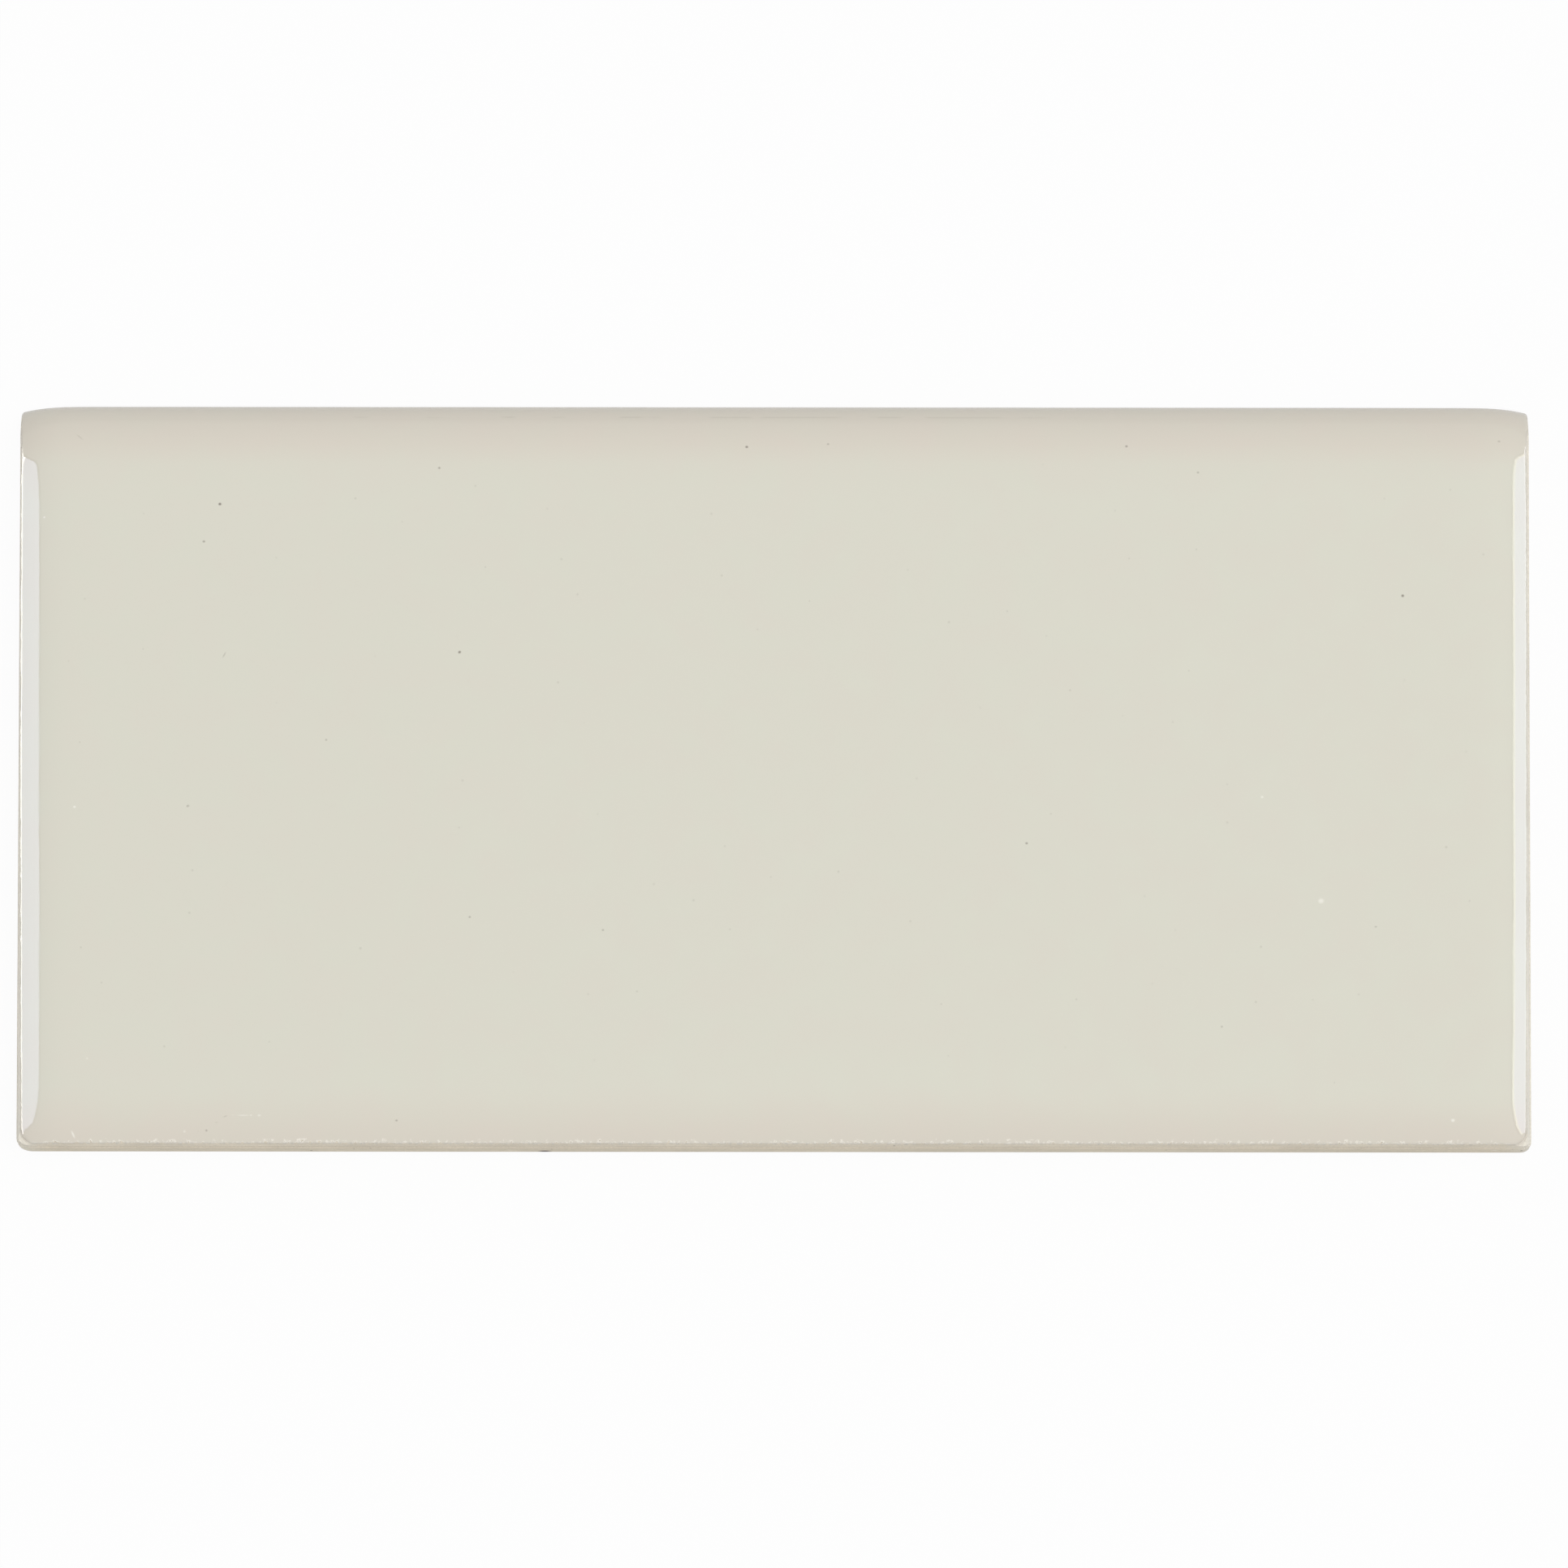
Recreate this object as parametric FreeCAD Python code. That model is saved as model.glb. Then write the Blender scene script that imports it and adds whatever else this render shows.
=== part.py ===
# Bullnose wall tile: one pressed, glazed and fired piece, lying on its back with its face up.
# X runs along the tile, Y across it towards the round nose, and Z up from the back to the face.
# The origin is the middle of the back, and every size is in millimetres.

import FreeCAD
import Part
import math
import os

Vector = FreeCAD.Vector

# The whole tile
tile_length = 152.4
tile_width = 75.5
tile_thickness = 7.9

# The bullnose: a quarter round from the face down to a short upright land, drawn back a little at its ends
nose_radius = 6.35
nose_setback = 0.35

# The cushion edges: the face rolls down in a wide arc, then turns into the wall in a small one
cushion_run = 4.2
cushion_angle = math.radians(28)
rim_radius = 0.5

# The unglazed wall of the three cushion edges: upright from the back, then bent to lean in up to the rim
lower_wall_height = 4.8
wall_lean = 0.45
wall_bend_radius = 6.0
corner_radius = 1.3
back_chamfer = 0.4

# The keyed back: rows of drafted pockets inside a flat land
key_length = 15.0
key_width = 7.5
key_depth = 0.8
key_draft = 0.4
key_rib = 2.6
back_land = 5.0

# How far the crown runs past the walls that trim it, and what counts as a crease between two faces
crown_overrun = 0.2
crease_angle = math.radians(8)
tolerance = 0.01

origin = Vector(0, 0, 0)
along = Vector(1, 0, 0)
across = Vector(0, 1, 0)
up = Vector(0, 0, 1)
half_length = tile_length / 2
half_width = tile_width / 2
cushion_radius = cushion_run / math.sin(cushion_angle)
cushion_drop = cushion_radius * (1 - math.cos(cushion_angle))


# The section of a wall, drawn from an inner plane out to the wall's reach and up to the face
def wall_section(inner, reach, outward):
    lean_angle = math.atan2(wall_lean, tile_thickness - lower_wall_height)
    bend_foot = lower_wall_height - wall_bend_radius * math.tan(lean_angle / 2)
    bend = []
    for angle in (0, lean_angle / 2, lean_angle):
        distance = reach - wall_bend_radius * (1 - math.cos(angle))
        bend.append(outward * distance + up * (bend_foot + wall_bend_radius * math.sin(angle)))
    inner_back = outward * inner
    outer_back = outward * reach
    outer_top = outward * (reach - wall_lean) + up * tile_thickness
    inner_top = inner_back + up * tile_thickness
    return Part.Face(Part.Wire([
        Part.makeLine(inner_back, outer_back),
        Part.makeLine(outer_back, bend[0]),
        Part.Arc(*bend).toShape(),
        Part.makeLine(bend[-1], outer_top),
        Part.makeLine(outer_top, inner_top),
        Part.makeLine(inner_top, inner_back),
    ]))


def lies_in(edge, normal, distance):
    points = edge.discretize(3)
    return all(abs(point.dot(normal) - distance) < tolerance for point in points)


# The right half inside its walls: the end and the square edge meet in a mitre, which is rounded
def half_block():
    end_section = wall_section(0, half_length, along)
    end_section.translate(across * -half_width)
    edge_section = wall_section(-half_width, half_width, across * -1)
    block = end_section.extrude(across * tile_width).common(edge_section.extrude(along * half_length)).Solids[0]
    mitre = [edge for edge in block.Edges if lies_in(edge, along + across, half_length - half_width)]
    return block.makeFillet(corner_radius, mitre)


# The cushion roll as (distance out, drop): where it leaves the flat face, its middle, and past the walls
def cushion_roll():
    reach = cushion_run + wall_lean + crown_overrun
    reach_angle = math.asin(reach / cushion_radius)
    points = []
    for angle in (0, reach_angle / 2, reach_angle):
        points.append((cushion_radius * math.sin(angle), cushion_radius * (1 - math.cos(angle))))
    return points


# The solid under the glazed face: the section across the tile, carried along its length without turning,
# so that the rolls of two edges add up at a corner and leave no crease
def half_crown():
    flat_end = half_length - wall_lean - cushion_run
    flat_edge = -half_width + wall_lean + cushion_run
    end_roll = []
    edge_roll = []
    for distance, drop in cushion_roll():
        setback = nose_setback * drop / cushion_drop
        end_roll.append(Vector(flat_end + distance, -setback, -drop))
        edge_roll.append(Vector(0, flat_edge - distance, tile_thickness - drop))
    path = Part.Wire([Part.makeLine(origin, end_roll[0]), Part.Arc(*end_roll).toShape()])

    nose_bend = nose_radius * (1 - math.sqrt(0.5))
    nose_start = Vector(0, half_width - nose_radius, tile_thickness)
    nose_middle = Vector(0, half_width - nose_bend, tile_thickness - nose_bend)
    nose_end = Vector(0, half_width, tile_thickness - nose_radius)
    nose_foot = Vector(0, half_width, -tile_thickness)
    edge_foot = Vector(0, edge_roll[-1].y, -tile_thickness)
    section = Part.Wire([
        Part.Arc(*edge_roll).toShape(),
        Part.makeLine(edge_roll[0], nose_start),
        Part.Arc(nose_start, nose_middle, nose_end).toShape(),
        Part.makeLine(nose_end, nose_foot),
        Part.makeLine(nose_foot, edge_foot),
        Part.makeLine(edge_foot, edge_roll[-1]),
    ])

    sweep = Part.BRepOffsetAPI.MakePipeShell(path)
    sweep.setTrihedronMode(origin, across)
    sweep.add(section)
    sweep.build()
    sweep.makeSolid()
    return sweep.shape()


def is_crease(solid, edge):
    middle = edge.valueAt((edge.FirstParameter + edge.LastParameter) / 2)
    faces = solid.ancestorsOfType(edge, Part.Face)
    normals = [face.normalAt(*face.Surface.parameter(middle)) for face in faces]
    return normals[0].getAngle(normals[-1]) > crease_angle


# The right half cut to the crown, with the edges where the crown meets the walls rounded over
def half_tile():
    solid = half_block().common(half_crown()).Solids[0]
    rim = []
    for edge in solid.Edges:
        is_inner = lies_in(edge, along, 0) or lies_in(edge, up, 0)
        if not is_inner and is_crease(solid, edge):
            rim.append(edge)
    return solid.makeFillet(rim_radius, rim)


# One drafted pocket of the back, centred on x and y, with its mouth at the back
def key_pocket(x, y):
    roof_length = key_length - 2 * key_draft
    roof_width = key_width - 2 * key_draft
    pocket = Part.makeWedge(
        -key_length / 2, 0, -key_width / 2, -roof_width / 2, -roof_length / 2,
        key_length / 2, key_depth, key_width / 2, roof_width / 2, roof_length / 2)
    pocket.rotate(origin, along, 90)
    pocket.translate(Vector(x, y, 0))
    return pocket


# The middles of as many keys as fit across a span, evenly spaced about zero
def key_places(span, key_size):
    pitch = key_size + key_rib
    count = int((span - 2 * back_land + key_rib) / pitch)
    return [(place - (count - 1) / 2) * pitch for place in range(count)]


def bullnose_tile():
    half = half_tile()
    tile = half.fuse(half.mirror(origin, along)).removeSplitter().Solids[0]
    tile = tile.makeChamfer(back_chamfer, [edge for edge in tile.Edges if lies_in(edge, up, 0)])

    pockets = []
    for x in key_places(tile_length, key_length):
        for y in key_places(tile_width, key_width):
            pockets.append(key_pocket(x, y))
    return tile.cut(Part.makeCompound(pockets)).Solids[0]


os.makedirs("parts", exist_ok=True)
bullnose_tile().exportStep("parts/bullnose_tile.step")
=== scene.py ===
import bpy
import bmesh
import math
import random
from mathutils import Matrix, Quaternion, Vector, kdtree, noise


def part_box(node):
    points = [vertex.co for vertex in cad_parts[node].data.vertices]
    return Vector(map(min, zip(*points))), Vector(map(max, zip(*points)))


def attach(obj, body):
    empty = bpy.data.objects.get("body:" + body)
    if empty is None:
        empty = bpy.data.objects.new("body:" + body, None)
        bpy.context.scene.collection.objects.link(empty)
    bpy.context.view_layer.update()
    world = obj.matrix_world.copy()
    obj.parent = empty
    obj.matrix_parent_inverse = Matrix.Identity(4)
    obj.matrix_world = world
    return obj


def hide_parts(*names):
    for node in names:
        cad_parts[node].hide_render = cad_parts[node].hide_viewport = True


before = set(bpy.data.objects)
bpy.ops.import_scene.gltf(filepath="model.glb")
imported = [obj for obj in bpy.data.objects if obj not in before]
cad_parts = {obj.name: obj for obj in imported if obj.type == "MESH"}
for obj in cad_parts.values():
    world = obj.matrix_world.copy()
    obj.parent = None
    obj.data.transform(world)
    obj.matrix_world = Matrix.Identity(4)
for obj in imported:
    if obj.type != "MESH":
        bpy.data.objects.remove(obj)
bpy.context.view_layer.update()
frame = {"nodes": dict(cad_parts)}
scene = bpy.context.scene
scene.view_settings.view_transform = "Standard"
print("frame loaded:", ", ".join(frame["nodes"]))

mm = 0.001                                   # the tile is drawn in millimetres, then brought to metres
nodeLow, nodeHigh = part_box("bullnose_tile")
length, width, thickness = (nodeHigh - nodeLow) / mm
weldGap = 0.001                              # points closer than this are made one
cutGap = 0.0001                              # a cut takes in the points that it passes this closely
sameArea = 0.01                              # faces whose areas differ by a smaller share are alike
facing = 0.2                                 # a normal with this much along a direction faces that way

tile = {
    "noseRadius": 6.35,
    "noseSetback": 0.35,                     # how far the nose draws back at its two ends
    "leadRun": 4.5,                          # the face eases down to the nose over this distance
    "leadDepth": 0.13,                       # and by this much
    "cushionRun": 4.2,                       # from the flat face out to the rim
    "cushionAngle": math.radians(27),
    "rollBlend": 2.5,                        # the roll is eased over about this much each side of its start
    "edgeInset": 0.45,                       # the roll is struck this far inside the outline
    "rimRadius": 0.5,
    "rimCorner": 1.6,                        # radius of the crown's corners at the rim
    "rimSegments": 5,
    "cornerRun": {-1: (1.55, 0.85), 1: (1.0, 0.6)},   # rounding of the left and the right corner, in x and y
    "cornerSpread": 1.5,                     # above 1, the edges of the wall draw together at the corners
    "ledgeHeight": 4.8,                      # where the upper half of the press steps in
    "ledgeDepth": {-1: 0.03, 0: 0.05, 1: 0.10},   # at the left end, the square edge and the right end
    "ledgeRise": 0.10,
    "ledgeSteps": 4,
    "ledgeWander": 0.05,                     # how far the ledge strays up and down
    "ledgeWave": 9.0,                        # over about this distance
    "belowLedge": (2.4, 0.25),               # more cuts round the wall, measured from the ledge
    "aboveLedge": (0.2, 0.8),
    "edgeDraft": 0.112,                      # lean of the square edge above the ledge, for each millimetre
    "endDraft": {-1: (0.005, 0.22), 1: (0.07, 0.21)},   # and of each end, at the nose and at the square edge
    "backChamfer": 0.4,
    "skirt": 2.0,                            # the sides are drawn this far past the back, then trimmed
    "faceColumns": 288,
    "faceRows": 130,
    "rollSteps": 14,
    "noseSteps": 28,
    "landSteps": 3,
    "fanRows": 60,                           # face rows whose wall edges start to fan out towards the nose
    "reachTurns": 4,                         # the meeting of roll and wall settles in this many rounds
    "sharpAngle": math.radians(35),          # creases over this angle are shaded sharp
}
keys = {
    "count": (8, 6),
    "size": (15.0, 7.5),
    "rib": 2.6,
    "depth": 0.8,
    "draft": 0.4,
    "soften": 0.18,                          # their edges are rounded by this, in so many segments
    "softSegments": 2,
}
glazeCoat = {
    "lipPlace": (0.48, 0.68),                # share of the rim that is glazed, at the ends and at the edge
    "lipWander": 0.15,
    "lipWave": 1.6,
    "lipThinning": 0.12,                     # the coat thins out over this distance from its lip
    "thickness": 0.05,
    "sideBand": 1.5,                         # the lip is looked for this close to the outline
    "deep": 1.0,                             # the distance from the lip that stands for any larger one
    "ripples": ((9.0, 0.010), (3.5, 0.004)),  # wavelength and height of the ripples left by firing
}
noiseSeeds = {"lip": 3, "ripples": 7, "ledge": 11}
seedSkew = 0.37                              # keeps the patterns of two seeds from lining up

halfLength = length / 2
halfWidth = width / 2
flatEnd = halfLength - tile["edgeInset"] - tile["cushionRun"]
flatEdge = tile["edgeInset"] + tile["cushionRun"] - halfWidth
noseStart = halfWidth - tile["noseRadius"]
rollRadius = tile["cushionRun"] / math.sin(tile["cushionAngle"])
ledgeLow = tile["ledgeHeight"] - tile["ledgeRise"] / 2
ledgeHigh = tile["ledgeHeight"] + tile["ledgeRise"] / 2
edgeWall = Vector((tile["ledgeDepth"][0], tile["edgeDraft"]))   # depth of the ledge, and lean above it
rimTurn = math.pi / 2 - tile["cushionAngle"] - math.atan(tile["edgeDraft"])   # from roll to wall
columns = tile["faceColumns"] + 2 * tile["rollSteps"]
rows = tile["rollSteps"] + tile["faceRows"] + tile["noseSteps"] + tile["landSteps"]
crownPart, wallPart, rimPart = range(3)      # material numbers that tell the parts of the mesh apart


def smoothStep(low, high, value):
    share = min(max((value - low) / (high - low), 0), 1)
    return share * share * (3 - 2 * share)


def smoothNoise(point, wavelength, seed):
    return noise.noise(Vector(point) / wavelength + Vector((seed, seedSkew * seed, -seed)))


def rollDrop(distance):                      # how far the cushion has fallen, this far past the flat face
    eased = (distance + math.hypot(distance, tile["rollBlend"])) / 2
    return rollRadius - math.sqrt(rollRadius ** 2 - eased ** 2)


cushionDrop = rollDrop(tile["cushionRun"])


def endWall(side, y):                        # what edgeWall has, for one of the ends at a place along it
    atNose, atEdge = tile["endDraft"][side]
    return Vector((tile["ledgeDepth"][side], atNose + (atEdge - atNose) * ((halfWidth - y) / width) ** 2))


def wallInset(z, wall):                      # how far inside the outline the wall stands at a height
    depth, draft = wall
    return depth * smoothStep(ledgeLow, ledgeHigh, z) + draft * max(z - ledgeHigh, 0)


def rimReach(outer, flat, top, wall):        # where a roll that starts at a height meets the leaning wall
    reach = outer
    for turn in range(tile["reachTurns"]):
        reach = outer - wallInset(top - rollDrop(reach - flat), wall)
    return reach


def cornerPoint(share, radius, sizeX, sizeY):   # a share of the way round a corner, from end to edge
    straightX = sizeX - radius
    straightY = sizeY - radius
    arc = radius * math.pi / 2
    run = share * (straightX + straightY + arc)
    if run <= straightY:
        return sizeX, run
    if run <= straightY + arc:
        angle = (run - straightY) / radius
        return straightX + radius * math.cos(angle), straightY + radius * math.sin(angle)
    return max(straightX + straightY + arc - run, 0), sizeY


def roundCorner(x, y, reachX, reachY):       # bends the grid's square corner to the tile's round one
    sizeX = reachX - flatEnd
    sizeY = reachY + flatEdge
    shareX = (abs(x) - flatEnd) / sizeX
    shareY = (flatEdge - y) / sizeY
    level = max(shareX, shareY)
    share = shareY / level / 2 if shareX >= shareY else 1 - shareX / level / 2
    outX, outY = cornerPoint(share, level * tile["rimCorner"], level * sizeX, level * sizeY)
    return math.copysign(flatEnd + outX, x), flatEdge - outY


def alongAt(column, reach):
    offset = column - columns / 2
    count = abs(offset) - tile["faceColumns"] / 2
    if count <= 0:
        x = flatEnd * (1 + count / (tile["faceColumns"] / 2))
    else:
        x = flatEnd + count / tile["rollSteps"] * (reach - flatEnd)
    return math.copysign(x, offset)


def crownPoint(column, row):                 # the glazed face: a section across the tile, carried along it
    edgeReach = rimReach(halfWidth, -flatEdge, thickness, edgeWall)
    step = row - tile["rollSteps"]
    noseStep = step - tile["faceRows"]
    landStep = noseStep - tile["noseSteps"]
    y, top, lead = halfWidth, thickness - tile["noseRadius"], 0
    if step <= 0:
        y, top = flatEdge + step / tile["rollSteps"] * (edgeReach + flatEdge), thickness
    elif noseStep <= 0:
        y, top = flatEdge + step / tile["faceRows"] * (noseStart - flatEdge), thickness
        lead = max(1 - (noseStart - y) / tile["leadRun"], 0) ** 2
    elif landStep <= 0:
        angle = noseStep / tile["noseSteps"] * math.pi / 2
        y = noseStart + tile["noseRadius"] * math.sin(angle)
        top = thickness - tile["noseRadius"] * (1 - math.cos(angle))
        lead = (1 + 2 * (y - noseStart) / tile["leadRun"]) * math.cos(angle) ** 2
    top -= lead * tile["leadDepth"]
    side = 1 if column > columns / 2 else -1
    endReach = rimReach(halfLength, flatEnd, top, endWall(side, y))
    x = alongAt(column, endReach)
    if abs(x) > flatEnd and y < flatEdge:
        x, y = roundCorner(x, y, endReach, edgeReach)
    endDrop = rollDrop(abs(x) - flatEnd)
    setback = tile["noseSetback"] * endDrop / cushionDrop
    z = top - endDrop - rollDrop(flatEdge - y - setback)
    if landStep > 0:
        z -= (z + tile["skirt"]) * landStep / tile["landSteps"]
    y -= setback * min(max(y / noseStart, 0), 1)
    return Vector((x, y, z))


def outwards(x, y):                          # which way the nearest wall faces, and the place on its outline
    side = math.copysign(1, x)
    runX, runY = tile["cornerRun"][side]
    middle = Vector((side * (halfLength - runX), runY - halfWidth, 0))
    spoke = Vector(((x - middle.x) / runX, (y - middle.y) / runY, 0))
    if side * spoke.x > 0 and spoke.y < 0:
        spoke.normalize()
        out = Vector((spoke.x / runX, spoke.y / runY, 0)).normalized()
        return out, middle + Vector((spoke.x * runX, spoke.y * runY, 0))
    if halfLength - abs(x) < y + halfWidth:
        return Vector((side, 0, 0)), Vector((side * halfLength, y, 0))
    return Vector((0, -1, 0)), Vector((x, -halfWidth, 0))


def onOutline(point, z):                     # the place on the wall straight out from a point
    out, place = outwards(point.x, point.y)
    side = math.copysign(1, point.x)
    wall = out.x ** 2 * endWall(side, place.y) + out.y ** 2 * edgeWall
    return place - out * wallInset(z, wall) + Vector((0, 0, z))


def isVert(item):
    return isinstance(item, bmesh.types.BMVert)


def makeCrown(bm, seat):
    bmesh.ops.create_grid(bm, x_segments=columns, y_segments=rows, size=1)
    fanStart = rows - tile["landSteps"] - tile["noseSteps"] - tile["fanRows"]
    fanLow = crownPoint(0, fanStart).y
    fanHigh = crownPoint(0, rows).y
    rim = set()
    for vert in bm.verts:
        column = round((vert.co.x + 1) / 2 * columns)
        row = round((vert.co.y + 1) / 2 * rows)
        vert.co = crownPoint(column, row)
        if column in (0, columns) or row == 0:
            rim.add(vert)
            foot = vert.co.copy()
            if row > fanStart:
                foot.y = fanLow + (row - fanStart) / (rows - fanStart) * (fanHigh - fanLow)
            elif abs(foot.x) > flatEnd and foot.y < flatEdge:
                inner = Vector((math.copysign(flatEnd, foot.x), flatEdge, 0))
                foot = inner + tile["cornerSpread"] * (foot - inner)
            vert[seat] = onOutline(foot, -tile["skirt"])
    return [edge for edge in bm.edges if edge.is_boundary and rim.issuperset(edge.verts)]


def makeWalls(bm, seat, rimEdges):
    for item in bmesh.ops.extrude_edge_only(bm, edges=rimEdges)["geom"]:
        if isVert(item):
            item.co = item[seat]
        elif isinstance(item, bmesh.types.BMFace):
            item.material_index = wallPart
    bmesh.ops.remove_doubles(bm, verts=bm.verts, dist=weldGap)
    bmesh.ops.recalc_face_normals(bm, faces=bm.faces)
    rimEdges = [edge for edge in bm.edges if len({face.material_index for face in edge.link_faces}) == 2]
    rounded = bmesh.ops.bevel(
        bm, geom=rimEdges, offset=tile["rimRadius"] * math.tan(rimTurn / 2), offset_type="OFFSET",
        segments=tile["rimSegments"], profile=0.5, affect="EDGES", material=-1)
    for face in rounded["faces"]:
        face.material_index = rimPart


def cutWalls(bm, seat, bare):
    levels = [ledgeLow - gap for gap in tile["belowLedge"]]
    for step in range(tile["ledgeSteps"] + 1):
        levels.append(ledgeLow + step / tile["ledgeSteps"] * tile["ledgeRise"])
    levels += [ledgeHigh + gap for gap in tile["aboveLedge"]]
    for level in levels:
        walls = [face for face in bm.faces if face.material_index == wallPart]
        around = {part for face in walls for part in (face, *face.edges, *face.verts)}
        cut = bmesh.ops.bisect_plane(
            bm, geom=list(around), dist=cutGap, plane_co=(0, 0, level), plane_no=(0, 0, 1))["geom_cut"]
        for vert in filter(isVert, cut):
            vert.co = onOutline(vert[seat] if vert[seat].y < flatEdge else vert.co, level)
            vert[bare] = 1
    bmesh.ops.bisect_plane(
        bm, geom=[*bm.verts, *bm.edges, *bm.faces], dist=cutGap, plane_co=(0, 0, tile["backChamfer"]),
        plane_no=(0, 0, 1), clear_inner=True)


def pressKeys(bm):                           # the keys: cells of a grid, pressed up into the body
    cells = [2 * count - 1 for count in keys["count"]]
    grid = bmesh.ops.create_grid(bm, x_segments=cells[0], y_segments=cells[1], size=1)["verts"]
    for vert in grid:
        for axis in (0, 1):
            line = round((vert.co[axis] + 1) / 2 * cells[axis])
            pitch = keys["size"][axis] + keys["rib"]
            span = keys["count"][axis] * pitch - keys["rib"]
            vert.co[axis] = line // 2 * pitch + line % 2 * keys["size"][axis] - span / 2
    field = {face for vert in grid for face in vert.link_faces}
    border = [edge for edge in {edge for face in field for edge in face.edges} if edge.is_boundary]
    mouthArea = keys["size"][0] * keys["size"][1]
    mouths = [face for face in field if math.isclose(face.calc_area(), mouthArea, rel_tol=sameArea)]
    roofs = bmesh.ops.extrude_discrete_faces(bm, faces=mouths)["faces"]
    shrink = [1 - 2 * keys["draft"] / size for size in keys["size"]]
    soft = set()
    for roof in roofs:
        middle = Matrix.Translation(-roof.calc_center_median())
        bmesh.ops.scale(bm, vec=(*shrink, 1), space=middle, verts=roof.verts)
        bmesh.ops.translate(bm, vec=(0, 0, keys["depth"]), verts=roof.verts)
        soft.update(edge for vert in roof.verts for edge in vert.link_edges)
    return border, list(soft)


def makeBack(bm):
    loop = [edge for edge in bm.edges if edge.is_boundary]
    grown = bmesh.ops.extrude_edge_only(bm, edges=loop)["geom"]
    foot = [item for item in grown if isVert(item)]
    inner = (1 - tile["backChamfer"] / halfLength, 1 - tile["backChamfer"] / halfWidth, 0)
    bmesh.ops.scale(bm, vec=inner, verts=foot)
    footEdges = [item for item in grown if isinstance(item, bmesh.types.BMEdge) and item.is_boundary]
    border, softEdges = pressKeys(bm)
    bmesh.ops.triangle_fill(bm, use_beauty=True, edges=footEdges + border, normal=(0, 0, -1))
    bmesh.ops.bevel(
        bm, geom=softEdges, offset=keys["soften"], offset_type="OFFSET",
        segments=keys["softSegments"], profile=0.5, affect="EDGES", material=-1)


def lipDistance(vert):                       # along the surface from the glaze's lip, below 0 on the body
    out, place = outwards(vert.co.x, vert.co.y)
    if (place - vert.co).dot(out) > glazeCoat["sideBand"]:
        return glazeCoat["deep"]
    atEnds, atEdge = glazeCoat["lipPlace"]
    lipPlace = out.x ** 2 * atEnds + out.y ** 2 * atEdge
    lipPlace += glazeCoat["lipWander"] * smoothNoise(vert.co, glazeCoat["lipWave"], noiseSeeds["lip"])
    slope = math.asin(min(max(vert.normal.dot(out), -1), 1))
    radius = rollRadius if slope < tile["cushionAngle"] else tile["rimRadius"]
    return lipPlace * rimTurn * tile["rimRadius"] + (tile["cushionAngle"] - slope) * radius


def coatWithGlaze(bm, bare):
    edgeLayer = bm.verts.layers.float.new("glazeEdge")
    slopeLayer = bm.verts.layers.float.new("glazeSlope")
    bm.normal_update()
    shifts = {}
    for vert in bm.verts:
        isBack = vert.normal.z < -facing
        vert[edgeLayer] = -glazeCoat["deep"] if isBack or vert[bare] else lipDistance(vert)
        vert[slopeLayer] = math.asin(min(abs(vert.normal.y), 1)) / (math.pi / 2)
        if isBack:
            continue
        sink = 0
        for wave, height in glazeCoat["ripples"]:
            sink += height * (1 - smoothNoise(vert.co, wave, noiseSeeds["ripples"]))
        thinned = 1 - smoothStep(0, glazeCoat["lipThinning"], vert[edgeLayer])
        sink += glazeCoat["thickness"] * thinned * smoothStep(ledgeLow, ledgeHigh, vert.co.z)
        shifts[vert] = -vert.normal * sink
        if vert[bare]:
            stray = smoothNoise(vert.co, tile["ledgeWave"], noiseSeeds["ledge"])
            shifts[vert].z += tile["ledgeWander"] * stray
    for vert, shift in shifts.items():
        vert.co += shift


# flaws of the face: x, y, length and width in millimetres, turn in degrees, strength
ironSpecks = (
    (-55.9, 27.1, 0.34, 0.30, 0, 0.75),
    (63.3, 17.9, 0.32, 0.30, 0, 0.70),
    (-31.7, 12.1, 0.34, 0.28, 30, 0.70),
    (-2.8, 33.0, 0.32, 0.28, 0, 0.65),
    (-57.5, 23.3, 0.30, 0.24, 0, 0.50),
    (25.4, -7.2, 0.30, 0.26, 0, 0.50),
    (35.5, 33.1, 0.30, 0.26, 0, 0.50),
    (-33.8, 30.8, 0.28, 0.26, 0, 0.47),
    (-37.9, -35.2, 0.28, 0.22, 0, 0.38),
    (-59.0, -3.5, 0.36, 0.26, 20, 0.32),
    (-30.6, -14.7, 0.28, 0.24, 0, 0.36),
    (42.7, 30.4, 0.28, 0.24, 0, 0.33),
    (5.4, 33.3, 0.28, 0.22, 0, 0.32),
    (-17.2, -16.0, 0.28, 0.24, 0, 0.32),
    (-45.1, 3.2, 0.26, 0.24, 0, 0.30),
    (-55.4, 11.8, 0.70, 0.18, 60, 0.24),
    (45.0, -25.7, 0.26, 0.24, 0, 0.28),
    (-57.0, -36.2, 0.26, 0.24, 0, 0.35),
    (73.1, 33.7, 0.30, 0.24, 0, 0.27),
    (60.5, -15.6, 0.28, 0.22, 0, 0.26),
    (-55.1, -34.8, 0.50, 0.14, 20, 0.18),
    (-70.1, 34.0, 0.90, 0.16, -40, 0.14),
)
# pimples: small raised bumps of the glaze, each with a painted glint
pimples = (
    (-70.4, -36.6, 0.80, 0.22, -65, 0.60),
    (68.2, -35.1, 0.42, 0.36, 0, 0.60),
    (-70.4, -3.6, 0.30, 0.28, 0, 0.50),
    (49.1, -2.5, 0.32, 0.28, 0, 0.45),
    (55.0, -13.0, 0.60, 0.54, 0, 0.50),
    (-51.7, -34.7, 0.34, 0.26, 0, 0.35),
    (-53.3, -34.7, 1.20, 0.16, 0, 0.30),
    (-59.2, -36.3, 0.30, 0.28, 0, 0.30),
    (-69.0, -29.0, 0.26, 0.24, 0, 0.25),
    (-73.6, 25.8, 0.22, 0.20, 0, 0.50),
)
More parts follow.
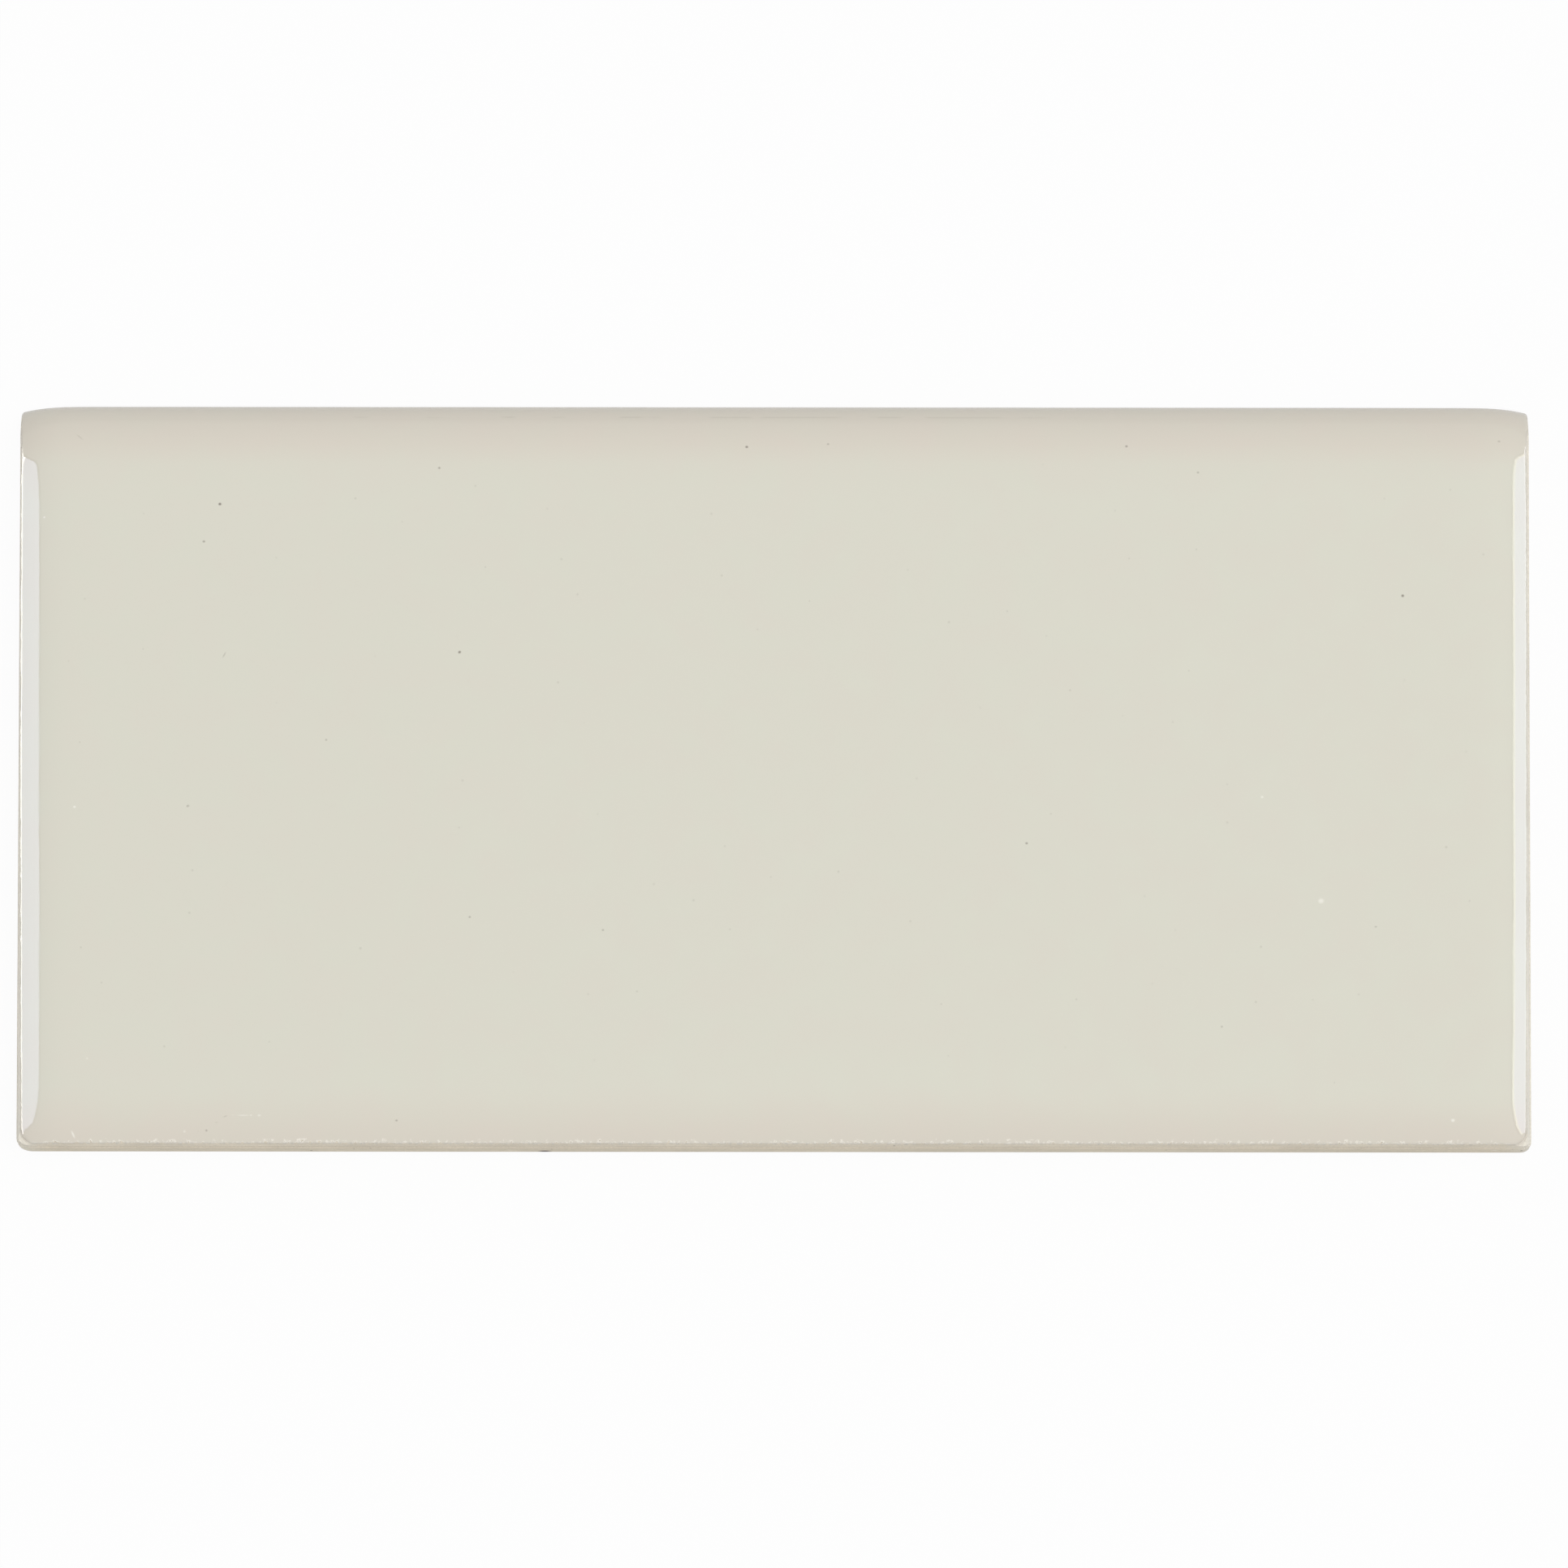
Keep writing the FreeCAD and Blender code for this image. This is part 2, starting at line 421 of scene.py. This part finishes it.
# faint specks make up the total, and each keeps apart from all the other flaws
faintSpecks = {"seed": 5, "total": 110, "size": (0.2, 0.3), "strength": (0.04, 0.16), "apart": 3.6}
# marks on the wall of the square edge, with the height in place of y, and pale ones with a strength below 0
wallMarks = (
    (-23.1, 0.9, 1.30, 2.20, 0, 1.0),
    (-42.2, 3.6, 0.28, 1.00, 0, 0.6),
    (-40.6, 4.2, 0.25, 0.80, 0, 0.5),
    (-46.6, 1.6, 0.30, 1.10, 0, 0.5),
    (-26.6, 2.2, 0.40, 0.80, 20, -0.5),
    (12.1, 5.6, 0.25, 0.40, 0, 0.6),
    (39.5, 3.0, 0.30, 0.60, 0, 0.5),
    (72.6, 2.8, 0.35, 1.60, 35, -0.6),
    (75.3, 2.6, 0.30, 0.90, 0, 0.8),
)
flawReach = 1.2                              # a point looks for its flaw this close by
flawFade = (1.25, 0.35)                      # a flaw fades in between these shares of its half size


def allFlaws():                              # the listed flaws of the face, and faint specks between them
    flaws = list(ironSpecks)
    flaws += [(*flaw, -strength) for *flaw, strength in pimples]
    dice = random.Random(faintSpecks["seed"])
    while len(flaws) < faintSpecks["total"]:
        place = Vector((dice.uniform(-1, 1) * flatEnd, dice.uniform(-1, 1) * noseStart))
        size = dice.uniform(*faintSpecks["size"])
        strength = dice.uniform(*faintSpecks["strength"])
        if all((place - Vector(flaw[:2])).length > faintSpecks["apart"] for flaw in flaws):
            flaws.append((*place, size, size, 0, strength))
    return flaws


def markFlaws(bm):                           # each point keeps its place in the nearest flaw
    layer = bm.verts.layers.float_vector.new("flaw")
    flaws = allFlaws()
    tree = kdtree.KDTree(len(flaws))
    for number, flaw in enumerate(flaws):
        tree.insert((flaw[0], flaw[1], 0), number)
    tree.balance()
    for vert in bm.verts:
        nearest, number, distance = tree.find((vert.co.x, vert.co.y, 0))
        isNear = distance < flawReach and vert.normal.z > facing
        flaw, level = flaws[number], vert.co.y
        onWall = vert.normal.y < -facing and vert.normal.z < facing
        for mark in wallMarks:
            if onWall and abs(vert.co.x - mark[0]) < flawReach:
                flaw, level, isNear = mark, vert.co.z, vert.co.z > tile["backChamfer"] / 2
        x, y, long, wide, turn, strength = flaw
        offset = Matrix.Rotation(-math.radians(turn), 2) @ Vector((vert.co.x - x, level - y))
        vert[layer] = (2 * offset.x / long, 2 * offset.y / wide, strength if isNear else 0)


def makeTile():
    bm = bmesh.new()
    seat = bm.verts.layers.float_vector.new("seat")
    bare = bm.verts.layers.int.new("bare")
    makeWalls(bm, seat, makeCrown(bm, seat))
    cutWalls(bm, seat, bare)
    print("crown and walls:", len(bm.faces), "faces")
    makeBack(bm)
    bmesh.ops.remove_doubles(bm, verts=bm.verts, dist=weldGap)
    bmesh.ops.recalc_face_normals(bm, faces=bm.faces)
    coatWithGlaze(bm, bare)
    markFlaws(bm)
    print("tile closed:", all(edge.is_manifold for edge in bm.edges))
    for face in bm.faces:
        face.smooth = True
        face.material_index = crownPart
    bmesh.ops.scale(bm, vec=(mm, mm, mm), verts=bm.verts)
    mesh = bpy.data.meshes.new("glazed_tile")
    bm.to_mesh(mesh)
    bm.free()
    mesh.set_sharp_from_angle(angle=tile["sharpAngle"])
    piece = bpy.data.objects.new("glazed_tile", mesh)
    scene.collection.objects.link(piece)
    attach(piece, "root")
    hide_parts("bullnose_tile")
    return piece


glazedTile = makeTile()
print("triangles:", sum(len(face.vertices) - 2 for face in glazedTile.data.polygons))


# glaze and fired body in one material, parted along the ragged lip of the glaze
finish = {
    "glaze": (0.666, 0.652, 0.561),
    "glazeVeilShade": (0.666, 0.638, 0.550),      # painted shade, as soon as the face turns down
    "glazeThinAndShade": (0.666, 0.623, 0.539),      # over the long edges: the warm body showing through the thinning glaze, with painted shade
    "glazeFootShade": (0.600, 0.558, 0.480),      # painted shade down the foot of the nose
    "thinAndShadeStops": (0.012, 0.07, 0.21, 0.60, 0.95),   # slopes of those, in right angles, with two for the thin and shaded glaze
    "warm": (1.004, 0.996, 0.999),           # faint clouds in the glaze, warm and green
    "green": (0.997, 1.004, 1.001),
    "iron": (0.10, 0.075, 0.055),
    "paleGlintAndScuff": (0.93, 0.91, 0.84),              # a painted glint on pimples of the glaze, and pale scuffs on the wall
    "chip": (0.92, 0.88, 0.80),
    "glazeRoughness": (0.05, 0.09),
    "body": (0.720, 0.652, 0.530),
    "bodyEndsLight": (1.03, 1.08, 1.16),          # painted light: the body is lit paler and cooler on the two ends
    "endsLightBand": (3.0, 0.2),                  # turning so between these distances from the ends
    "bodyLowShade": (0.966, 0.958, 0.933),        # painted shade: the body is darker below the ledge, near the floor
    "bodyDarkAndShade": (0.20, 0.165, 0.115),        # painted shade in pits and under the lip, and the darker seam and ledge band
    "bodyRoughness": 0.85,
    "ior": 1.5,
    "bumpHeight": 0.03,                      # millimetres from the lowest to the highest of the fine relief
}
# Patterns: their waves are lengths along x, y and z in millimetres, a range is the part of the noise that is
# used, and a core is the share of a width that has the full strength.
clouding = {"waves": (4, 4, 4), "detail": 1.0, "range": (0.35, 0.65)}
peel = {"waves": (1.3, 1.3, 1.3), "detail": 0.0, "height": 0.05}
fineGrain = {"waves": (0.2, 0.2, 0.2), "range": (0.3, 0.7), "shade": 0.08}
streaks = {"waves": (12, 12, 0.9), "range": (0.35, 0.65), "shade": 0.05}
bodyClouds = {"range": (0.0, 1.0), "shade": 0.03}
pits = {"pitch": 1.1, "radius": 0.14, "core": 0.4, "share": 0.3, "strength": 0.6}
ledgeDarkening = {"height": 0.10, "width": 0.30, "core": 0.4, "strength": 0.14}   # its height is above the ledge
seam = {
    "height": 5.45,
    "width": 0.16,
    "core": 0.3,
    "range": (0.4, 0.7),
    "strength": 0.10,
    "middle": -10,                           # where along the nose it shows best
    "reach": 42,                             # how far it runs either way from there
    "fade": 12,                              # and the length over which it then fades out
}
lip = {
    "waves": (0.45, 0.45, 0.35),
    "detail": 3.0,
    "biteRange": (0.3, 0.7),
    "ragged": 0.42,                          # how far the bites move the lip in and out
    "sharp": 0.012,
    "chipRange": (0.35, 0.6),                # white chips in the edge of the glaze
    "chipStrength": (0.32, 0.62),
    "chipBand": 0.28,
    "chipCore": 0.3,
    "shadowRange": (0.40, 0.58),             # the broken painted shadow line under it
    "shadowStrength": (0.15, 0.55),
    "shadowBand": 0.14,
    "calm": 0.12,                            # what is left of bites and chips away from the square edge
    "calmAcross": (1.0, 2.5),                # they calm down between these distances from that edge
    "calmAlong": (3.5, 1.2),                 # and from the ends
}


def newMaterial(name):
    material = bpy.data.materials.new(name)
    material.use_nodes = True
    material.node_tree.nodes.clear()
    return material, material.node_tree


def addNode(tree, kind, inputs=(), **settings):
    node = tree.nodes.new("ShaderNode" + kind)
    for name, value in settings.items():
        setattr(node, name, value)
    for name, value in dict(inputs).items():
        if isinstance(value, bpy.types.NodeSocket):
            tree.links.new(value, node.inputs[name])
        else:
            node.inputs[name].default_value = value
    return node


def rgba(colour):
    return (*colour, 1)


def mixColour(tree, factor, first, second, blend="MIX"):   # a Mix node takes its colours at 6 and 7
    node = addNode(tree, "Mix", {0: factor, 6: first, 7: second}, data_type="RGBA", blend_type=blend)
    return node.outputs[2]


def mixValue(tree, factor, first, second):   # and its values at 2 and 3
    return addNode(tree, "Mix", {0: factor, 2: first, 3: second}).outputs[0]


def maths(tree, operation, first, second):
    return addNode(tree, "Math", {0: first, 1: second}, operation=operation).outputs[0]


def mapRange(tree, value, fromLow, fromHigh, toLow=0.0, toHigh=1.0):
    limits = {"From Min": fromLow, "From Max": fromHigh, "To Min": toLow, "To Max": toHigh}
    return addNode(tree, "MapRange", {"Value": value, **limits}).outputs[0]


def grain(tree, place, waves, detail=2.0):   # noise with features as long as the waves
    spread = addNode(tree, "Mapping", {"Vector": place, "Scale": [1 / (wave * mm) for wave in waves]})
    pattern = addNode(tree, "TexNoise", {"Vector": spread.outputs[0], "Scale": 1.0, "Detail": detail})
    return pattern.outputs["Fac"]


def offBy(tree, value, middle):              # how far a coordinate is from a place, in millimetres
    offset = maths(tree, "SUBTRACT", value, middle * mm)
    return maths(tree, "ABSOLUTE", maths(tree, "DIVIDE", offset, mm), 0.0)


def glazeLook(tree, place, axes, clouds):    # colour and relief of the glaze
    # the glaze darkens with its slope along the nose and the square edge: partly the warm body showing
    # through, partly painted shade
    slope = addNode(tree, "Attribute", attribute_name="glazeSlope").outputs["Fac"]
    ramp = addNode(tree, "ValToRGB", {"Fac": slope})
    stops = ramp.color_ramp.elements
    colours = [finish[name] for name in ("glaze", "glazeVeilShade", "glazeThinAndShade", "glazeThinAndShade", "glazeFootShade")]
    while len(stops) < len(colours):
        stops.new(0.5)                       # its place is set below
    for stop, position, colour in zip(stops, finish["thinAndShadeStops"], colours):
        stop.position = position
        stop.color = rgba(colour)
    drift = mixColour(tree, clouds, rgba(finish["warm"]), rgba(finish["green"]))
    colour = mixColour(tree, 1.0, ramp.outputs["Color"], drift, "MULTIPLY")

    # the line where the two halves of the press met shows faintly and in stretches along the nose
    fromLine = offBy(tree, axes["Z"], seam["height"])
    line = mapRange(tree, fromLine, seam["width"], seam["core"] * seam["width"])
    fromMiddle = offBy(tree, axes["X"], seam["middle"])
    inReach = mapRange(tree, fromMiddle, seam["reach"], seam["reach"] - seam["fade"])
    strength = mapRange(tree, clouds, *seam["range"], 0.0, seam["strength"])
    stretches = maths(tree, "MULTIPLY", inReach, strength)
    colour = mixColour(tree, maths(tree, "MULTIPLY", line, stretches), colour, rgba(finish["bodyDarkAndShade"]))
    relief = grain(tree, place, peel["waves"], peel["detail"])
    return colour, maths(tree, "MULTIPLY", relief, peel["height"])


def bodyLook(tree, place, axes, clouds):     # colour and relief of the fired body
    fine = grain(tree, place, fineGrain["waves"])
    streaked = grain(tree, place, streaks["waves"])
    # painted light: the body is paler and cooler on the two ends, where the cool side light falls
    endsLow, endsHigh = [halfLength - gap for gap in finish["endsLightBand"]]
    atEnds = mapRange(tree, offBy(tree, axes["X"], 0), endsLow, endsHigh)
    colour = mixColour(tree, atEnds, rgba(finish["body"]), rgba(finish["bodyEndsLight"]), "MULTIPLY")
    # painted shade: darker below the ledge, near the floor
    inLowShade = mapRange(tree, axes["Z"], ledgeHigh * mm, ledgeLow * mm)
    colour = mixColour(tree, inLowShade, colour, rgba(finish["bodyLowShade"]), "MULTIPLY")
    for pattern, look in ((fine, fineGrain), (streaked, streaks), (clouds, bodyClouds)):
        level = mapRange(tree, pattern, *look["range"], 1 - look["shade"], 1 + look["shade"])
        colour = mixColour(tree, 1.0, colour, level, "MULTIPLY")
    # painted shade: dark spots in small pits of the body
    cells = addNode(tree, "TexVoronoi", {"Vector": place, "Scale": 1 / (pits["pitch"] * mm)})
    size = pits["radius"] / pits["pitch"]
    inside = mapRange(tree, cells.outputs["Distance"], size, pits["core"] * size, 0.0, pits["strength"])
    chosen = maths(tree, "LESS_THAN", cells.outputs["Color"], pits["share"])
    colour = mixColour(tree, maths(tree, "MULTIPLY", inside, chosen), colour, rgba(finish["bodyDarkAndShade"]))

    # the body is darker on the ledge and in the corner above it
    fromCorner = offBy(tree, axes["Z"], tile["ledgeHeight"] + ledgeDarkening["height"])
    ledgeDarkened = mapRange(tree, fromCorner, ledgeDarkening["width"], ledgeDarkening["core"] * ledgeDarkening["width"], 0.0, ledgeDarkening["strength"])
    colour = mixColour(tree, ledgeDarkened, colour, rgba(finish["bodyDarkAndShade"]))
    return colour, mixValue(tree, 0.5, fine, streaked)


def flawSpots(tree):                         # how deep in a flaw a place is: above 0 if dark, below if pale
    flaw = addNode(tree, "Attribute", attribute_name="flaw").outputs["Vector"]
    inPlan = addNode(tree, "VectorMath", {0: flaw, 1: (1, 1, 0)}, operation="MULTIPLY").outputs[0]
    reach = addNode(tree, "VectorMath", {0: inPlan}, operation="LENGTH").outputs["Value"]
    strength = addNode(tree, "SeparateXYZ", {0: flaw}).outputs["Z"]
    return maths(tree, "MULTIPLY", mapRange(tree, reach, *flawFade), strength)


def besideEdge(tree, axes):                  # 1 at the lip along the square edge, and less along the ends
    edgeLow, edgeHigh = [(gap - halfWidth) * mm for gap in lip["calmAcross"]]
    endsLow, endsHigh = [halfLength - gap for gap in lip["calmAlong"]]
    across = mapRange(tree, axes["Y"], edgeLow, edgeHigh, 1.0, lip["calm"])
    along = mapRange(tree, offBy(tree, axes["X"], 0), endsLow, endsHigh, 1.0, lip["calm"])
    return maths(tree, "MINIMUM", across, along)


def glazedFinish():
    material, tree = newMaterial("glazed_tile")
    place = addNode(tree, "TexCoord").outputs["Object"]
    axes = addNode(tree, "SeparateXYZ", {0: place}).outputs
    clouds = mapRange(tree, grain(tree, place, clouding["waves"], clouding["detail"]), *clouding["range"])
    glaze, glazeRelief = glazeLook(tree, place, axes, clouds)
    body, bodyRelief = bodyLook(tree, place, axes, clouds)

    # the lip: ragged, chipped white where it breaks back, with a broken painted shadow line under it
    fromLip = addNode(tree, "Attribute", attribute_name="glazeEdge").outputs["Fac"]
    breaks = grain(tree, place, lip["waves"], lip["detail"])
    onEdge = besideEdge(tree, axes)
    bites = mapRange(tree, breaks, *lip["biteRange"], lip["ragged"], -lip["ragged"])
    edge = maths(tree, "ADD", fromLip, maths(tree, "MULTIPLY", bites, onEdge))
    isGlaze = mapRange(tree, edge, -lip["sharp"], lip["sharp"])
    chips = mapRange(tree, breaks, *lip["chipRange"], *lip["chipStrength"])
    inBand = mapRange(tree, edge, lip["chipBand"], lip["chipCore"] * lip["chipBand"])
    chipped = maths(tree, "MULTIPLY", inBand, maths(tree, "MULTIPLY", chips, onEdge))
    glaze = mixColour(tree, chipped, glaze, rgba(finish["chip"]))
    # painted shadow: a broken dark line on the body just under the lip
    broken = mapRange(tree, breaks, *lip["shadowRange"], *lip["shadowStrength"])
    under = maths(tree, "MULTIPLY", mapRange(tree, edge, -lip["shadowBand"], 0.0), broken)
    body = mixColour(tree, under, body, rgba(finish["bodyDarkAndShade"]))

    spots = flawSpots(tree)
    raised = maths(tree, "MULTIPLY", spots, -1.0)
    colour = mixColour(tree, isGlaze, body, glaze)
    colour = mixColour(tree, spots, colour, rgba(finish["iron"]))
    # painted glint on the pimples, and the pale colour of the wall scuffs
    colour = mixColour(tree, raised, colour, rgba(finish["paleGlintAndScuff"]))

    isCoated = mapRange(tree, fromLip, -lip["sharp"], lip["sharp"])
    relief = maths(tree, "ADD", mixValue(tree, isCoated, bodyRelief, glazeRelief), raised)
    gloss = mapRange(tree, clouds, 0.0, 1.0, *finish["glazeRoughness"])
    normal = addNode(tree, "Bump", {"Height": relief, "Distance": finish["bumpHeight"] * mm})
    shader = addNode(tree, "BsdfPrincipled", {
        "Base Color": colour, "Roughness": mixValue(tree, isGlaze, finish["bodyRoughness"], gloss),
        "IOR": finish["ior"], "Normal": normal.outputs[0]})
    addNode(tree, "OutputMaterial", {"Surface": shader.outputs[0]})
    return material


glazedTile.data.materials.append(glazedFinish())
print("finish made:", len(glazedTile.data.materials[0].node_tree.nodes), "nodes")

# studio, in metres: a white dome and floor, one soft lamp, and two soft boxes that only the gloss shows
studio = {
    "white": (1, 1, 1),
    "dome": 0.66,
    "floorSize": 8.0,
    "floorColour": (0.7, 0.7, 0.7),
    "floorWhite": 0.95,                      # how much of the floor is plain white to the camera
    "floorGloss": 0.15,                      # and in reflections, where more of its shadow has to show
    "floorDrop": 0.0001,
    "lampPlace": (0.85, -0.1, 2.95),
    "lampSize": 2.0,
    "lampPower": 40.4,
}
# Each soft box stands off one end, with its outline given as y and z. Its boards stand one behind the other.
# A board has its size, as a share of the outline, and its bands: their top, their tint and their brightness.
softBoxDistance = 0.5
boardGap = 0.002
softBoxes = {
    "left": {
        "side": -1,
        "outline": (
            (-0.30, 0.0), (-0.29, 0.46), (-0.275, 0.54), (-0.09, 0.625), (0.03, 0.666), (0.057, 0.656),
            (0.09, 0.602), (0.11, 0.588), (0.15, 0.555), (0.21, 0.452), (0.285, 0.0),
        ),
        "boards": (
            (1.00, ((0.24, (1.0, 0.98, 0.95), 12.5), (0.8, (0.73, 0.763, 1.0), 5.0))),
            (1.08, ((0.8, (1.0, 1.0, 1.0), 0.0),)),
        ),
    },
    "right": {
        "side": 1,
        "outline": (
            (-0.20, 0.0), (-0.25, 0.22), (-0.36, 0.40), (-0.29, 0.50), (-0.07, 0.578), (0.02, 0.572),
            (0.05, 0.523), (0.10, 0.507), (0.145, 0.500), (0.203, 0.440), (0.272, 0.400), (0.29, 0.30),
            (0.31, 0.0),
        ),
        "boards": (
            (0.92, ((0.24, (0.80, 0.84, 1.0), 6.6), (0.8, (0.71, 0.75, 1.0), 5.2))),
            (1.00, ((0.8, (1.0, 1.0, 0.86), 5.4),)),
            (1.09, ((0.8, (1.0, 1.0, 1.0), 0.0),)),
        ),
    },
}


def shownBy(tree, camera, gloss):            # one level on camera rays, another on those of gloss and glass
    path = addNode(tree, "LightPath")
    mirrored = maths(tree, "MAXIMUM", path.outputs["Is Glossy Ray"], path.outputs["Is Transmission Ray"])
    return maths(tree, "MAXIMUM", maths(tree, "MULTIPLY", path.outputs["Is Camera Ray"], camera),
                 maths(tree, "MULTIPLY", mirrored, gloss))


def makeWorld():
    world = bpy.data.worlds.new("dome")
    scene.world = world
    world.use_nodes = True
    tree = world.node_tree
    tree.nodes.clear()
    level = mapRange(tree, shownBy(tree, 1.0, 1.0), 0.0, 1.0, studio["dome"], 1.0)
    back = addNode(tree, "Background", {"Color": rgba(studio["white"]), "Strength": level})
    addNode(tree, "OutputWorld", {"Surface": back.outputs[0]})


def stageMesh(name, bm, materials):
    mesh = bpy.data.meshes.new(name)
    bm.to_mesh(mesh)
    bm.free()
    for material in materials:
        mesh.materials.append(material)
    thing = bpy.data.objects.new(name, mesh)
    scene.collection.objects.link(thing)
    return thing


def makeFloor():
    material, tree = newMaterial("floor_white")
    share = shownBy(tree, studio["floorWhite"], studio["floorGloss"])
    matt = addNode(tree, "BsdfDiffuse", {"Color": rgba(studio["floorColour"])})
    plain = addNode(tree, "Emission", {"Color": rgba(studio["white"]), "Strength": 1.0})
    both = addNode(tree, "MixShader", {0: share, 1: matt.outputs[0], 2: plain.outputs[0]})
    addNode(tree, "OutputMaterial", {"Surface": both.outputs[0]})
    bm = bmesh.new()
    bmesh.ops.create_grid(bm, x_segments=1, y_segments=1, size=studio["floorSize"] / 2)
    bmesh.ops.translate(bm, vec=(0, 0, -studio["floorDrop"]), verts=bm.verts)
    stageMesh("floor", bm, [material])


def glowing(name, tint, bright):
    material, tree = newMaterial(name)
    glow = addNode(tree, "Emission", {"Color": rgba(tint), "Strength": bright})
    addNode(tree, "OutputMaterial", {"Surface": glow.outputs[0]})
    return material


def makeBoard(name, side, distance, outline, bands):   # a flat glowing board, cut into its bands
    bm = bmesh.new()
    bm.faces.new([bm.verts.new((side * distance, y, z)) for y, z in outline])
    cuts = [height for height, tint, bright in bands[:-1]]
    for height in cuts:
        bmesh.ops.bisect_plane(
            bm, geom=[*bm.verts, *bm.edges, *bm.faces], plane_co=(0, 0, height), plane_no=(0, 0, 1))
    for face in bm.faces:
        face.material_index = sum(face.calc_center_median().z > height for height in cuts)
    board = stageMesh(name, bm, [glowing(name, tint, bright) for height, tint, bright in bands])
    board.visible_camera = False
    board.visible_diffuse = False
    board.visible_shadow = False


def makeSoftBox(name, box):
    for number, (size, bands) in enumerate(box["boards"]):
        outline = [(size * y, size * z) for y, z in box["outline"]]
        distance = softBoxDistance + number * boardGap
        makeBoard(name + "_board_" + str(number), box["side"], distance, outline, bands)


def makeLamp():
    lamp = bpy.data.lights.new("soft_lamp", "AREA")
    lamp.shape = "DISK"
    lamp.size = studio["lampSize"]
    lamp.energy = studio["lampPower"]
    thing = bpy.data.objects.new("soft_lamp", lamp)
    thing.location = studio["lampPlace"]
    thing.rotation_mode = "QUATERNION"
    thing.rotation_quaternion = (-thing.location).to_track_quat("-Z", "Y")
    thing.visible_glossy = False
    scene.collection.objects.link(thing)


makeWorld()
makeFloor()
makeLamp()
for boxName, softBox in softBoxes.items():
    makeSoftBox(boxName, softBox)
print("studio lit")

# camera, in metres, with its lens and sensor in millimetres
view = {
    "elevation": math.radians(84.0),
    "roll": math.radians(0.0509),
    "distance": 1.6858,
    "target": (0.000990, -0.000810, 0.00395),
    "lens": 383.73,
    "sensor": 36.0,
}


def makeCamera():
    camera = bpy.data.cameras.new("camera")
    camera.lens = view["lens"]
    camera.sensor_width = view["sensor"]
    thing = bpy.data.objects.new("camera", camera)
    back = Vector((0, -math.cos(view["elevation"]), math.sin(view["elevation"])))
    thing.location = Vector(view["target"]) + back * view["distance"]
    thing.rotation_mode = "QUATERNION"
    thing.rotation_quaternion = (-back).to_track_quat("-Z", "Y") @ Quaternion((0, 0, 1), view["roll"])
    scene.collection.objects.link(thing)
    scene.camera = thing


makeCamera()
print("camera set")
